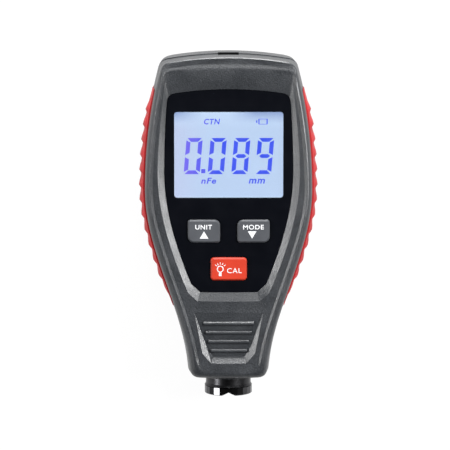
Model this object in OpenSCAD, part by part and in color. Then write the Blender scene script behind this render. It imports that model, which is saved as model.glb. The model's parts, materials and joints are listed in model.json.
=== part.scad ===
// Handheld coating thickness gauge, lying on its back.
// +Z points out of the face, +Y to the head end, and the probe leaves the foot end.

/* [Housing outline] */
// Length of the housing without the probe
shell_len = 102.1; // [98:0.1:112]
// Width that the sides run to at the head end
head_w = 41.3; // [39:0.1:46]
// Greatest width, at the waist
waist_w = 53.3; // [51:0.1:58]
// Width that the sides run to at the foot end
neck_w = 25.2; // [24:0.2:30]
// Distance of the waist from the head end
waist_drop = 42.4; // [38:0.1:44]
// Inward slope of the sides at the head end
head_slope = 0.3; // [0.2:0.02:0.36]
// Inward slope of the sides at the foot end
neck_slope = 0.02; // [0:0.02:0.2]
// Radius of the arched head end
head_arch = 110; // [80:5:200]
// Radius of the arched foot end
foot_arch = 150; // [100:5:300]
// Corner radius at the head end
head_corner = 2.2; // [1.8:0.1:4]
// Corner radius at the foot end
foot_corner = 2.6; // [2.2:0.1:5]

/* [Housing walls] */
// Wall thickness
wall = 2.4; // [2.2:0.1:2.8]
// Depth of the rear half, up to the parting line
rear_depth = 12.5; // [11.5:0.1:13.5]
// Thickness of the back wall
back_t = 2.2; // [1.8:0.1:2.4]
// Height of the rounding along the back edge
back_round = 3.6; // [2.5:0.1:4]
// Width of the rounding along the back edge
back_inset = 3.8; // [3:0.1:4.5]
// Draft of the side walls over each half
side_draft = 0.7; // [0.4:0.1:1]
// Draft of the head wall over the front half
head_draft = 0.4; // [0.3:0.1:1.4]
// Step between the halves at the head end
head_step = 0.3; // [0.2:0.05:0.4]
// Thickness of the lip between the halves
lip_t = 0.8; // [0.6:0.1:1]
// Height of the lip between the halves
lip_h = 1.2; // [0.8:0.1:1.6]
// Clearance round the lip
lip_clear = 0.1; // [0.05:0.05:0.2]
// Depth of the fine groove on the parting line
parting_groove = 0.25; // [0.1:0.05:0.4]

/* [Face] */
// Height of the rounded shoulder round the face
shoulder_h = 3.2; // [2.4:0.1:4]
// Height of the ridge above the face
ridge_h = 0.6; // [0.3:0.1:1]
// Depth of the hollow behind the edge at the head end
rim_dip = 0.45; // [0.2:0.05:0.6]
// Length over which the ridge runs into that hollow
rim_run = 4; // [3:0.5:6]
// Sharpness of the edge at the head end
head_edge = 6; // [1:0.5:8]
// Length over which the ridge dies out at the foot
ridge_fade = 6; // [4:0.5:10]
// Distance of the ridge from the sides at the waist
ridge_side = 2.2; // [1.8:0.1:2.6]
// Distance of the ridge from the sides below the waist
ridge_low = 2.9; // [2.2:0.1:3.2]
// Length over which the ridge moves in below the waist
ridge_run = 20; // [15:1:30]
// Distance of the ridge from the sides at the head end
ridge_top = 1.2; // [1:0.1:2.2]
// Distance of the ridge from the head end
ridge_head = 2.3; // [2:0.1:2.5]
// Distance of the ridge from the foot end
ridge_foot = 2.8; // [2.2:0.1:3.4]
// Width of the crease inside the ridge
crease_w = 0.9; // [0.6:0.1:1]
// Width of the slope out of the hollow at the head
crease_head = 1.6; // [1.2:0.1:1.7]
// Width of the crease at the foot
crease_foot = 0.4; // [0.3:0.1:0.8]
// Depth of the face panel below the face
recess_depth = 1.05; // [0.8:0.05:1.4]
// Distance of the recess from the head end
recess_drop = 4.2; // [4:0.1:5]
// Swell of the slope above the panel
recess_swell = 0.25; // [0:0.05:0.3]
// Width of the bevel along the sides of the panel
bevel_side = 2.1; // [1.6:0.1:2.2]
// Width of the side bevel beside the top of the panel
bevel_top = 1.3; // [0.8:0.1:1.4]
// Width of the bevel below the panel
bevel_foot = 2.8; // [1.5:0.1:3.2]

/* [Face panel] */
// Distance of the panel from the head end
panel_drop = 10.4; // [10:0.1:12]
// Length of the panel
panel_len = 63.4; // [60:0.1:66]
// Width at the top of the panel
panel_head_w = 37.4; // [36:0.2:38]
// Greatest width of the panel
panel_waist_w = 39.9; // [38:0.1:40.2]
// Distance of the panel's widest place from the head end
panel_waist_drop = 36.3; // [30:0.1:38]
// Inward slope of the panel's sides at its top
panel_head_slope = 0.1; // [0:0.02:0.2]
// Width that the panel's sides run to at its foot
panel_foot_w = 21.2; // [20:0.2:22]
// Inward slope of the panel's sides at its foot
panel_foot_slope = 0.42; // [0.3:0.02:0.5]
// Width of the cut corners at the panel's foot
panel_cut_w = 1.8; // [1:0.1:2.4]
// Height of the cut corners at the panel's foot
panel_cut_h = 2.6; // [1.6:0.1:3.2]
// Thickness of the panel
panel_t = 1; // [0.8:0.1:1.4]
// Clearance round fixed inlays
inlay_clear = 0.1; // [0.05:0.05:0.2]

/* [Display] */
// Visible width of the display
window_w = 33.8; // [30:0.1:35]
// Visible height of the display
window_h = 26.8; // [24:0.1:28]
// Distance of the display's centre from the head end
window_drop = 30.8; // [30:0.1:32]
// Corner radius of the display window
window_corner = 0.9; // [0.5:0.1:1.5]
// Width of the ledge that holds the window
window_ledge = 1.2; // [0.8:0.1:1.4]
// Thickness of the display glass
lcd_t = 2.1; // [1.8:0.1:2.4]
// Border of the display glass outside the visible area
lcd_border = 2; // [1.6:0.1:2.2]
// Length of the display glass's contact edge
lcd_contact_edge = 2.2; // [1.8:0.1:2.3]
// Thickness of the light guide
light_t = 2; // [1.6:0.1:2.4]
// Wall of the display frame
frame_wall = 1.1; // [0.9:0.1:1.2]

/* [Keys] */
// Width of a grey key
key_w = 10; // [9:0.1:10.6]
// Height of a key
key_h = 7.1; // [6.5:0.05:7.6]
// Width of the red key
cal_w = 11.2; // [10:0.1:12]
// Distance between the grey keys' centres
key_pitch = 15.4; // [14:0.1:16]
// Distance of the grey keys' flanges from the display frame
key_drop = 0.6; // [0.2:0.05:1.4]
// Distance of the red key's flange from the grey keys' flanges
cal_drop = 3.15; // [1:0.05:4]
// Height of the keys above the panel
key_rise = 0.9; // [0.6:0.1:1.1]
// Bevel along a key's edge
key_bevel = 0.45; // [0.3:0.05:0.6]
// Large corner radius of a grey key
key_corner_big = 1.8; // [1.2:0.1:2.4]
// Small corner radius of a grey key
key_corner_small = 0.8; // [0.5:0.1:1.2]
// Corner radius of the red key
cal_corner = 1; // [0.6:0.1:1.6]
// Travel of a key
key_travel = 0.5; // [0.3:0.05:0.6]
// Clearance round a key in the panel
key_clear = 0.2; // [0.15:0.05:0.3]
// Width of a key's hidden flange
key_flange = 0.8; // [0.6:0.1:1]
// Diameter of a key's stem
stem_d = 3; // [2.6:0.1:3.4]
// Side of a key switch
switch_w = 6; // [5:0.1:6.4]
// Height of a key switch
switch_h = 2.6; // [2.2:0.1:2.8]
// Diameter of a switch plunger
plunger_d = 2.4; // [2:0.1:2.6]
// Running clearance of a plunger and of the probe, on the radius
run_clear = 0.06; // [0.03:0.01:0.1]

/* [Thumb rest] */
// Distance of the thumb rest from the foot end
thumb_foot = 5.9; // [5:0.1:7]
// Length of the thumb rest
thumb_len = 16; // [14.5:0.1:17]
// Width at the top of the thumb rest
thumb_head_w = 21.4; // [19:0.2:22]
// Width at the shoulders of the thumb rest
thumb_waist_w = 16.4; // [15:0.2:17]
// Width along the foot of the thumb rest
thumb_foot_w = 10.8; // [9.5:0.2:12]
// Height of the cut corners
thumb_corner = 3.2; // [2.6:0.1:3.6]
// Width of the bevel at the foot of the thumb rest
thumb_bevel = 2; // [1.6:0.1:2.2]
// Width of the bevel at the sides of the thumb rest
thumb_side_bevel = 1.3; // [0.9:0.1:1.6]
// Depth at the foot of the thumb rest
thumb_depth = 1.35; // [0.9:0.05:1.5]
// Number of ribs
thumb_rib_count = 4; // [3:1:4]
// Distance of the lowest rib from the foot bevel
thumb_rib_start = 1.9; // [1.6:0.1:2.4]
// Length of the lowest rib
thumb_rib_len = 11.2; // [9:0.1:12]
// Growth in length from rib to rib
thumb_rib_grow = 1.5; // [0.8:0.1:1.8]
// Distance between the ribs
thumb_rib_pitch = 2.9; // [2.6:0.05:3]
// Diameter of the ribs
thumb_rib_d = 1.4; // [0.8:0.05:1.5]

/* [Side grips] */
// Distance of the grips from the head end
grip_drop = 10.8; // [9:0.1:13]
// Length of the grips
grip_len = 67.9; // [64:0.1:72]
// Height of the grips' lower edge above the back
grip_low = 5.5; // [5:0.1:6.5]
// Height of the grips' upper edge above the back
grip_high = 19.5; // [18:0.1:20]
// Depth of the channel that a grip sits in
grip_seat = 0.7; // [0.4:0.05:0.8]
// Height that a grip stands out of its channel
grip_proud = 0.45; // [0.3:0.05:0.8]
// Height of the grip bumps
bump_h = 0.65; // [0.3:0.05:0.8]
// Number of grip bumps
bump_count = 13; // [9:1:15]
// Length over which a grip's end tapers
grip_taper = 9; // [6:0.5:12]
// Clearance of a grip in its channel
grip_clear = 0.12; // [0.1:0.02:0.2]

/* [Battery bay] */
// Diameter of a cell
cell_d = 10.5; // [10:0.1:10.8]
// Length of a cell
cell_len = 44.5; // [43:0.1:45]
// Gap between the cells
cell_gap = 0.8; // [0.4:0.1:1.2]
// Clearance above and below a cell
cell_clear = 0.3; // [0.2:0.05:0.4]
// Room for the contacts at each end of the cells
contact_room = 2.6; // [2.2:0.1:3]
// Distance of the bay from the head end
bay_drop = 17.2; // [16.6:0.1:18]
// Wall of the bay
bay_wall = 1.2; // [0.8:0.1:1.4]
// Thickness of the battery door
door_t = 1.3; // [1.2:0.1:1.5]
// Depth that the door lies below the back
door_inset = 0.25; // [0.1:0.05:0.3]
// Width of the door's margin round the bay
door_margin = 1.6; // [1.3:0.1:2]
// Clearance round the door
door_clear = 0.3; // [0.2:0.05:0.4]
// Diameter of the door's hinge pins
hinge_pin_d = 1.1; // [0.9:0.1:1.2]
// Length of the door's hinge pins
hinge_pin_len = 2; // [1.5:0.1:2.4]

/* [Circuit board] */
// Thickness of the board
board_t = 1.6; // [1:0.1:1.8]
// Room between the battery bay and the board
board_clear = 2.15; // [1.8:0.05:2.4]
// Distance of the board's foot from the foot end
board_foot = 24.8; // [24.6:0.1:25.6]
// Gap between the board and the walls
board_edge = 0.8; // [0.5:0.1:1.2]
// Thickness of the wall under the face panel
floor_t = 1.4; // [1.2:0.1:1.8]

/* [Screws] */
// Diameter of a housing screw
screw_d = 3; // [2.6:0.1:3.2]
// Diameter of a housing screw's head
screw_head_d = 5.2; // [4.8:0.1:5.4]
// Depth of the recess for a screw's head
screw_sink = 4; // [3:0.1:5]
// Diameter of a screw boss
boss_d = 5.6; // [5.2:0.1:6]
// Clearance of screws and pins
screw_clear = 0.08; // [0.05:0.01:0.1]
// Gap between the upper bosses and the display frame
boss_spare = 0.4; // [0.3:0.1:1.2]
// Distance of the lower bosses from the foot end
boss_rise = 27.9; // [27.6:0.1:28.6]
// Distance of a boss from the inner wall
boss_gap = 2.1; // [1.8:0.1:2.3]
// Distance of a board screw's boss from the housing's wall
board_boss_gap = 2.9; // [2.7:0.1:3.4]
// Diameter of a board screw
board_screw_d = 2; // [1.6:0.1:2.2]

/* [Probe] */
// Length of the probe outside the housing
probe_reach = 5.5; // [5.2:0.1:8]
// Room between the sliding sleeve and the outside of the neck
neck_room = 5.5; // [5.4:0.1:6]
// Height of the end collar above the sleeve
collar_step = 0.4; // [0.2:0.1:0.7]
// Length of the end collar
collar_len = 2.6; // [2.4:0.1:3.2]
// Bevel along the end collar's edges
collar_edge = 0.25; // [0.2:0.05:0.5]
// Length of the sleeve's flare above the end collar
flare_len = 0.7; // [0.4:0.1:0.8]
// Wall of the sleeve
sleeve_wall = 1; // [0.8:0.1:1.2]
// Travel of the probe
probe_travel = 2; // [1:0.1:2.4]
// Width of the groove across the collar
groove_w = 4.4; // [4:0.1:5.4]
// Depth of the groove across the collar
groove_depth = 1.1; // [0.8:0.1:1.4]
// Length of the guide inside the housing
guide_len = 21; // [20.4:0.1:21.4]
// Wall of the guide's nose in the end wall
guide_wall = 1.3; // [1.1:0.1:1.5]
// Wall of the guide's spring chamber
chamber_wall = 1.2; // [1:0.1:1.3]
// Length of the guide's narrow bore
guide_bore_len = 12; // [11:0.1:12.6]
// Width of the sleeve's stop flange
stop_w = 1; // [0.8:0.1:1.1]
// Clearance round the sleeve's stop flange
stop_clear = 0.3; // [0.2:0.05:0.4]
// Thickness of the sleeve's stop flange
stop_t = 1; // [0.8:0.1:1.2]
// Thickness of the guide's cap
cap_t = 1.2; // [1:0.1:1.4]
// Wire of the springs
spring_wire = 0.6; // [0.4:0.05:0.7]
// Diameter of the probe's core
core_d = 3; // [2.4:0.1:3.4]
// Diameter of the probe's wear tip
tip_d = 2.4; // [2:0.1:2.8]

/* [Strap slot] */
// Width of the strap slot
slot_w = 6.6; // [5.6:0.1:7]
// Height of the strap slot
slot_h = 6; // [4:0.1:6.4]
// Depth of the strap slot
slot_depth = 6; // [5.4:0.1:6.6]
// Diameter of the strap post
post_d = 1.6; // [1.2:0.1:1.8]

/* [Hidden] */
$fn = 48;
cut = 0.6;
// Gap between parts that rest on one another
seat_gap = 0.05;
// Angle between the rings of a rounding
arc_step = 15;
// Inset of the cavity at its sides, head and foot, under the face and above the back
roof_in = [2, 3, 1];
roof_edge_in = [0.8, 1.6, 0.4];
roof_edge = 0.8;
back_in = [2, 2, 1.4];
back_edge_in = [0.6, 0.6, 0.4];
back_edge = 1;

// Heights, built up from the back
door_low = door_inset;
door_top = door_low + door_t;
cell_z = door_top + cell_clear + cell_d / 2;
bay_ceiling = door_top + 2 * cell_clear + cell_d;
board_low = bay_ceiling + bay_wall + board_clear;
board_top = board_low + board_t;
light_top = board_top + light_t;
lcd_low = light_top + inlay_clear;
lcd_top = lcd_low + lcd_t;
roof_z = lcd_top + inlay_clear;
seat_z = roof_z + floor_t;
panel_z = seat_z + panel_t;
face_z = panel_z + recess_depth;
shoulder_z = face_z - shoulder_h;

// Places along the length
head_y = (shell_len + probe_reach) / 2;
foot_y = head_y - shell_len;
waist_y = head_y - waist_drop;
panel_head_y = head_y - panel_drop;
panel_waist_y = head_y - panel_waist_drop;
panel_foot_y = panel_head_y - panel_len;
window_y = head_y - window_drop;
grip_head_y = head_y - grip_drop;
grip_foot_y = grip_head_y - grip_len;
bay_head_y = head_y - bay_drop;
bay_len = cell_len + 2 * contact_room;
bay_foot_y = bay_head_y - bay_len;
bay_w = 2 * cell_d + cell_gap + 2 * cell_clear;
cell_x = (cell_d + cell_gap) / 2;
door_head_y = bay_head_y + door_margin;
door_foot_y = bay_foot_y - door_margin;
hinge_y = door_foot_y + door_t / 2;
hinge_z = door_low + door_t / 2;
board_foot_y = foot_y + board_foot;
boss_foot_y = foot_y + boss_rise;
slot_y = head_y - slot_depth;
post_y = head_y - slot_depth / 2 - post_d / 4;

// The probe lies midway between the back wall and the roof of the cavity
probe_z = (back_t + roof_z) / 2;
tip_y = foot_y - probe_reach;
collar_top_y = tip_y + collar_len;
guide_end_y = foot_y + guide_len;
chamber_y = foot_y + guide_bore_len;
sleeve_r = neck_w / 2 - neck_room;
collar_r = sleeve_r + collar_step;
stop_r = sleeve_r + stop_w;
chamber_r = stop_r + stop_clear;
nose_r = sleeve_r + run_clear + guide_wall;
guide_r = chamber_r + chamber_wall;
stop_y = chamber_y + inlay_clear;
sleeve_end_y = stop_y + stop_t;
cap_y = guide_end_y - cap_t;
bobbin_r = sleeve_r - sleeve_wall - inlay_clear;

// Points per stretch of a ring
foot_steps = 4;
corner_steps = 6;
side_steps = 30;
head_steps = 6;

// Curves

function lerp(a, b, t) = a + (b - a) * t;
function clamp01(t) = max(0, min(1, t));
function smooth(t) = let (c = clamp01(t)) c * c * (3 - 2 * c);

// Cubic from a to b over a span, with the slopes at both ends
function cubic(a, slope_a, b, slope_b, span, t) =
    a * (2 * t^3 - 3 * t^2 + 1) + slope_a * span * (t^3 - 2 * t^2 + t)
    + b * (3 * t^2 - 2 * t^3) + slope_b * span * (t^3 - t^2);

// Half-width that is greatest at the waist and runs to a head and a foot
function waisted(y, waist, waist_at, head, head_at, head_in, foot, foot_at, foot_in) =
    y > waist_at
    ? cubic(waist, 0, head, -head_in, head_at - waist_at, (y - waist_at) / (head_at - waist_at))
    : cubic(waist, 0, foot, -foot_in, waist_at - foot_at, (waist_at - y) / (waist_at - foot_at));

function shell_side(y) = waisted(y, waist_w / 2, waist_y, head_w / 2, head_y, head_slope,
    neck_w / 2, foot_y, neck_slope);

function panel_side(y) = waisted(y, panel_waist_w / 2, panel_waist_y, panel_head_w / 2, panel_head_y,
    panel_head_slope, panel_foot_w / 2, panel_foot_y, panel_foot_slope);

// Width of the bevel beside the panel, narrower towards its top
function panel_bevel(y) = lerp(bevel_side, bevel_top,
    smooth((y - panel_waist_y) / (panel_head_y - panel_waist_y)));

// Depth of the grips' channel along the sides
function grip_channel(y) = grip_seat * clamp01((y - grip_foot_y) / grip_taper)
    * clamp01((grip_head_y - y) / grip_taper);

// Height of the ridge, which dies out at the foot and turns into a hollow at the head
function head_share(y) = smooth((y - head_y + ridge_head + rim_run) / rim_run);
function ridge_at(y) = lerp(ridge_h, -rim_dip, head_share(y))
    * smooth((y - foot_y - ridge_foot) / ridge_fade);

// Distance of the ridge from the sides, less towards the head and more below the waist
function ridge_in(y) = y > waist_y
    ? lerp(ridge_side, ridge_top, smooth((y - grip_head_y) / (head_y - ridge_head - grip_head_y)))
    : lerp(ridge_side, ridge_low, smooth((waist_y - y) / ridge_run));

function bend(a, b, c, t) = a * (1 - t)^2 + 2 * b * t * (1 - t) + c * t^2;

// Right half of a closed outline, from the middle of the foot to the middle of the head.
// half_w gives the half-width at y, and foot_cut is the foot corner's width and height.
function half_outline(half_w, head, foot, foot_cut, head_cut, foot_corner_steps, head_r, foot_r) =
    let (
        fx = half_w(foot),
        fy = foot + fx^2 / (2 * foot_r),
        foot_in = [fx - foot_cut[0], foot + (fx - foot_cut[0])^2 / (2 * foot_r)],
        foot_up = [half_w(fy + foot_cut[1]), fy + foot_cut[1]],
        hx = half_w(head - half_w(head)^2 / (2 * head_r)),
        hy = head - hx^2 / (2 * head_r),
        head_down = [half_w(hy - head_cut), hy - head_cut],
        head_in = [hx - head_cut, head - (hx - head_cut)^2 / (2 * head_r)]
    ) concat(
        [for (i = [0:foot_steps]) let (x = foot_in[0] * i / foot_steps)
            [x, foot + x^2 / (2 * foot_r)]],
        [for (i = [1:foot_corner_steps]) bend(foot_in, [fx, fy], foot_up, i / foot_corner_steps)],
        [for (i = [1:side_steps]) let (y = lerp(foot_up[1], head_down[1], i / side_steps))
            [half_w(y), y]],
        [for (i = [1:corner_steps]) bend(head_down, [hx, hy], head_in, i / corner_steps)],
        [for (i = [1:head_steps]) let (x = head_in[0] * (1 - i / head_steps))
            [x, head - x^2 / (2 * head_r)]]
    );

// A half outline and its mirror image as one closed outline
function whole(half) = concat(half,
    [for (i = [len(half) - 2:-1:1]) [-half[i][0], half[i][1]]]);

// Closed outline at a height, which may rise along the length
function ring(outline, z, rise = function(y) 0) = [for (p = outline) [p[0], p[1], z + rise(p[1])]];

// Outline of the housing drawn in at its sides, head and foot.
// The distance at the sides may be a function of the place along the length.
function shell_outline(side_in, head_in, foot_in, channel = 0) = whole(half_outline(
    function(y) shell_side(y) - (is_num(side_in) ? side_in : side_in(y)) - channel * grip_channel(y),
    head_y - head_in, foot_y + foot_in, [foot_corner, foot_corner], head_corner,
    corner_steps, head_arch, foot_arch));

function shell_ring(side_in, head_in, foot_in, z, channel = 0, rise = function(y) 0) =
    ring(shell_outline(side_in, head_in, foot_in, channel), z, rise);

// Outline of the face panel grown by a side, head and foot margin
function panel_outline(side_out, head_out, foot_out) = whole(half_outline(
    function(y) panel_side(y) + side_out(y), panel_head_y + head_out, panel_foot_y - foot_out,
    [panel_cut_w, panel_cut_h], head_corner, 1, head_arch, 4 * foot_arch));

function even(margin) = function(y) margin;

// Rectangle about the origin with its own radius at each corner, from the lower left round
function round_rect(w, h, radii, steps = 5) = [
    for (k = [0:3], i = [0:steps])
        let (r = radii[k], sx = [-1, 1, 1, -1][k], sy = [-1, -1, 1, 1][k], a = 180 + 90 * k + 90 * i / steps)
        [sx * (w / 2 - r) + r * cos(a), sy * (h / 2 - r) + r * sin(a)]
];

// Skins

// Closed skin through a stack of rings that each run from the foot up the right side and back
module ring_stack(rings) {
    n = len(rings[0]);
    last = (len(rings) - 1) * n;
    half = n / 2;
    strips = concat(
        [[0, 1, n - 1]],
        [for (i = [1:half - 2]) each [[i, i + 1, n - i - 1], [i, n - i - 1, n - i]]],
        [[half - 1, half, half + 1]]
    );
    sides = [for (k = [0:len(rings) - 2], i = [0:n - 1])
        let (a = k * n + i, b = k * n + (i + 1) % n)
        each [[a, a + n, b + n], [a, b + n, b]]];
    top = [for (s = strips) [last + s[2], last + s[1], last + s[0]]];
    polyhedron([for (r = rings) each r], concat(strips, sides, top));
}

// Closed skin through a row of sections whose points run up one face and down the other
module section_loft(sections) {
    n = len(sections[0]);
    last = (len(sections) - 1) * n;
    levels = n / 2;
    cap = [for (k = [0:levels - 2]) each [[k, k + 1, n - k - 2], [k, n - k - 2, n - k - 1]]];
    sides = [for (k = [0:len(sections) - 2], i = [0:n - 1])
        let (a = k * n + i, b = k * n + (i + 1) % n)
        each [[a, a + n, b + n], [a, b + n, b]]];
    far = [for (s = cap) [last + s[2], last + s[1], last + s[0]]];
    polyhedron([for (s = sections) each s], concat(cap, sides, far));
}

// Wire coiled round the Y axis from y = 0, with a radius that may change along it
module coil(r_start, r_end, wire, turns, length) {
    per_turn = 14;
    sides = 6;
    count = turns * per_turn;
    rings = [for (k = [0:count])
        let (t = k / count, a = 360 * k / per_turn, r = lerp(r_start, r_end, t),
            out = [cos(a), 0, sin(a)], up = [0, 1, 0],
            middle = r * out + (wire / 2 + t * (length - wire)) * up)
        [for (i = [0:sides - 1]) middle + wire / 2 * (cos(360 * i / sides) * out + sin(360 * i / sides) * up)]];
    last = count * sides;
    walls = [for (k = [0:count - 1], i = [0:sides - 1])
        let (a = k * sides + i, b = k * sides + (i + 1) % sides)
        each [[a, a + sides, b + sides], [a, b + sides, b]]];
    ends = [for (i = [1:sides - 2]) each [[0, i, i + 1], [last, last + i + 1, last + i]]];
    polyhedron([for (r = rings) each r], concat(walls, ends));
}

// Round bar along +Y from a start
module bar_y(x, y, z, r, length) {
    translate([x, y, z]) rotate([-90, 0, 0]) cylinder(r = r, h = length);
}

module block(x0, x1, y0, y1, z0, z1) {
    translate([x0, y0, z0]) cube([x1 - x0, y1 - y0, z1 - z0]);
}

module slab(outline, z0, z1) {
    translate([0, 0, z0]) linear_extrude(z1 - z0) polygon(outline);
}

function window_rect(margin) = round_rect(window_w + 2 * margin, window_h + 2 * margin,
    [for (k = [0:3]) window_corner + max(margin, 0)]);

// Display glass

lcd_w = window_w + 2 * lcd_border;
lcd_head_y = window_y + window_h / 2 + lcd_border;
lcd_foot_y = window_y - window_h / 2 - lcd_border - lcd_contact_edge;
light_foot_y = lcd_foot_y + lcd_contact_edge + 2 * inlay_clear;
frame_out = inlay_clear + frame_wall;

// Rows of keys, counted down from the display frame
key_y = lcd_foot_y - frame_out - key_drop - key_flange - key_h / 2;
cal_y = key_y - key_h - 2 * key_flange - cal_drop;

// Housing screws and bosses

boss_head_y = lcd_head_y + frame_out + boss_spare + boss_d / 2;
function boss_x(y) = shell_side(y) - wall - boss_gap - boss_d / 2;
boss_places = [for (y = [boss_head_y, boss_foot_y], s = [-1, 1]) [s * boss_x(y), y]];
board_screw_y = key_y - switch_w / 2;
board_screw_x = shell_side(board_screw_y) - wall - board_boss_gap - boss_d / 2;
board_screw_places = [for (s = [-1, 1]) [s * board_screw_x, board_screw_y]];

module at_places(places, z) {
    for (p = places) translate([p[0], p[1], z]) children();
}

// Housing

// Share of the draft reached at a height on the front and rear walls
function front_share(z) = (z - rear_depth) / (shoulder_z - rear_depth);
function rear_share(z) = (rear_depth - z) / (rear_depth - back_round);
lip_in = wall - lip_t;
lip_top = rear_depth + lip_h + lip_clear;
ledge = 0.15;
// Share of the crease's width, and of the ridge's height there
crease_steps = [[0.25, 0.94], [0.5, 0.68], [0.75, 0.28], [1, 0]];

function inner_ring(more, z) = shell_ring(wall + more[0], wall + more[1], wall + more[2], z);

front_rings = concat(
    [
        inner_ring(roof_in, roof_z),
        inner_ring(roof_edge_in, roof_z - roof_edge),
        shell_ring(wall, wall, wall, lip_top),
        shell_ring(lip_in - lip_clear, lip_in - lip_clear, lip_in - lip_clear, lip_top),
        shell_ring(lip_in - lip_clear, lip_in - lip_clear, lip_in - lip_clear, rear_depth),
        shell_ring(parting_groove, head_step, parting_groove, rear_depth, 1),
        shell_ring(0, head_step, 0, rear_depth + parting_groove, 1)
    ],
    [for (step = [[grip_high, 1], [grip_high + ledge, 0]])
        let (f = front_share(step[0]))
        shell_ring(side_draft * f, lerp(head_step, head_draft, f), side_draft * f, step[0], step[1])],
    [for (a = [0:arc_step:90]) let (in = 1 - cos(a), up = sin(a))
        shell_ring(function(y) lerp(side_draft, ridge_in(y), in), lerp(head_draft, ridge_head, in^head_edge),
            lerp(side_draft, ridge_foot, in), shoulder_z + shoulder_h * up, 0,
            function(y) lerp(up, in^head_edge, head_share(y)) * ridge_at(y))],
    [for (step = crease_steps)
        shell_ring(function(y) ridge_in(y) + crease_w * step[0], ridge_head + crease_head * step[0],
            ridge_foot + crease_foot * step[0], face_z, 0, function(y) step[1] * ridge_at(y))]
);

rear_rings = concat(
    [for (a = [90:-arc_step:0]) let (share = 1 - cos(a), in = lerp(side_draft / 2, back_inset, share))
        shell_ring(in, back_inset * share^head_edge, in, back_round * (1 - sin(a)))],
    [for (step = [[grip_low - ledge, 0], [grip_low, 1]])
        let (in = side_draft / 2 * rear_share(step[0]))
        shell_ring(in, 0, in, step[0], step[1])],
    [
        shell_ring(0, 0, 0, rear_depth - parting_groove, 1),
        shell_ring(parting_groove, 0, parting_groove, rear_depth, 1),
        shell_ring(lip_in, lip_in, lip_in, rear_depth),
        shell_ring(lip_in, lip_in, lip_in, rear_depth + lip_h),
        shell_ring(wall, wall, wall, rear_depth + lip_h),
        inner_ring(back_edge_in, back_t + back_edge),
        inner_ring(back_in, back_t)
    ]
);

// Sunk face with mitred bevels, down to the seat of the panel
module panel_recess() {
    slope = panel_drop - recess_drop;
    recess = panel_outline(function(y) panel_bevel(y), slope, bevel_foot);
    middle = panel_outline(function(y) panel_bevel(y) / 2, slope / 2, bevel_foot / 2);
    pocket = panel_outline(even(inlay_clear), inlay_clear, inlay_clear);
    ring_stack([ring(pocket, seat_z), ring(pocket, panel_z),
        ring(middle, panel_z + recess_depth / 2,
            function(y) recess_swell * smooth((y - panel_head_y) * 2 / slope)),
        ring(recess, face_z), ring(recess, face_z + 2 * ridge_h + cut)]);
}

// Height of the thumb rest's sloping floor
thumb_head_y = foot_y + thumb_foot + thumb_len;
thumb_fade = 0.05;
function thumb_floor(y) = face_z - thumb_fade
    - thumb_depth * (thumb_head_y - y) / (thumb_len - thumb_bevel);

function thumb_outline(foot_in, side_in) =
    let (foot = foot_y + thumb_foot + foot_in)
    whole([[0, foot - thumb_fade], [thumb_foot_w / 2 - side_in / 3, foot],
        [thumb_waist_w / 2 - side_in, foot + thumb_corner],
        [thumb_head_w / 2, thumb_head_y], [0, thumb_head_y + thumb_fade]]);

module thumb_recess() {
    low = [for (p = thumb_outline(thumb_bevel, thumb_side_bevel))
        [p[0], p[1], min(face_z - thumb_fade, thumb_floor(p[1]))]];
    top = thumb_outline(0, 0);
    ring_stack([low, ring(top, face_z), ring(top, face_z + ridge_h + cut)]);
}

module thumb_ribs() {
    for (i = [0:thumb_rib_count - 1]) {
        y = foot_y + thumb_foot + thumb_bevel + thumb_rib_start + thumb_rib_pitch * i;
        half = (thumb_rib_len + thumb_rib_grow * i) / 2;
        translate([-half, y, thumb_floor(y)]) rotate([0, 90, 0]) cylinder(d = thumb_rib_d, h = 2 * half);
    }
}

// Room that the probe's guide takes from both halves
module guide_space() {
    bar_y(0, foot_y - cut, probe_z, nose_r + inlay_clear, wall + 2 * cut);
    bar_y(0, foot_y + wall, probe_z, guide_r + inlay_clear, guide_len - wall + inlay_clear);
}

// Saddle that carries the guide, from a height to the parting line
saddle_t = 1.6;
saddle_out = 1;
saddle_from_end = 4;
saddle_from_foot = 6;
module guide_saddles(z0, z1) {
    for (y = [foot_y + saddle_from_foot, guide_end_y - saddle_from_end])
        block(-guide_r - saddle_out, guide_r + saddle_out, y, y + saddle_t, z0, z1);
}

slot_wall = 1.6;
slot_floor = 1;
module slot_block(z0, z1) {
    block(-slot_w / 2 - slot_wall, slot_w / 2 + slot_wall, slot_y - slot_wall + 2 * inlay_clear,
        head_y - lip_in - lip_clear, z0, z1);
}

module slot_space() {
    block(-slot_w / 2, slot_w / 2, slot_y, head_y + cut, rear_depth - slot_h / 2, rear_depth + slot_h / 2);
    translate([0, post_y, rear_depth - slot_h]) cylinder(d = post_d + 2 * screw_clear, h = 2 * slot_h);
}

module key_openings(margin, z0, z1) {
    translate([0, key_y]) for (s = [-1, 1]) translate([s * key_pitch / 2, 0])
        slab(grey_key_rect(margin, s), z0, z1);
    translate([0, cal_y]) slab(cal_key_rect(margin), z0, z1);
}

// Round bar along the door's hinge axis
module hinge_bar(d, length) {
    translate([-length / 2, hinge_y, hinge_z]) rotate([0, 90, 0]) cylinder(d = d, h = length);
}

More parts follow.
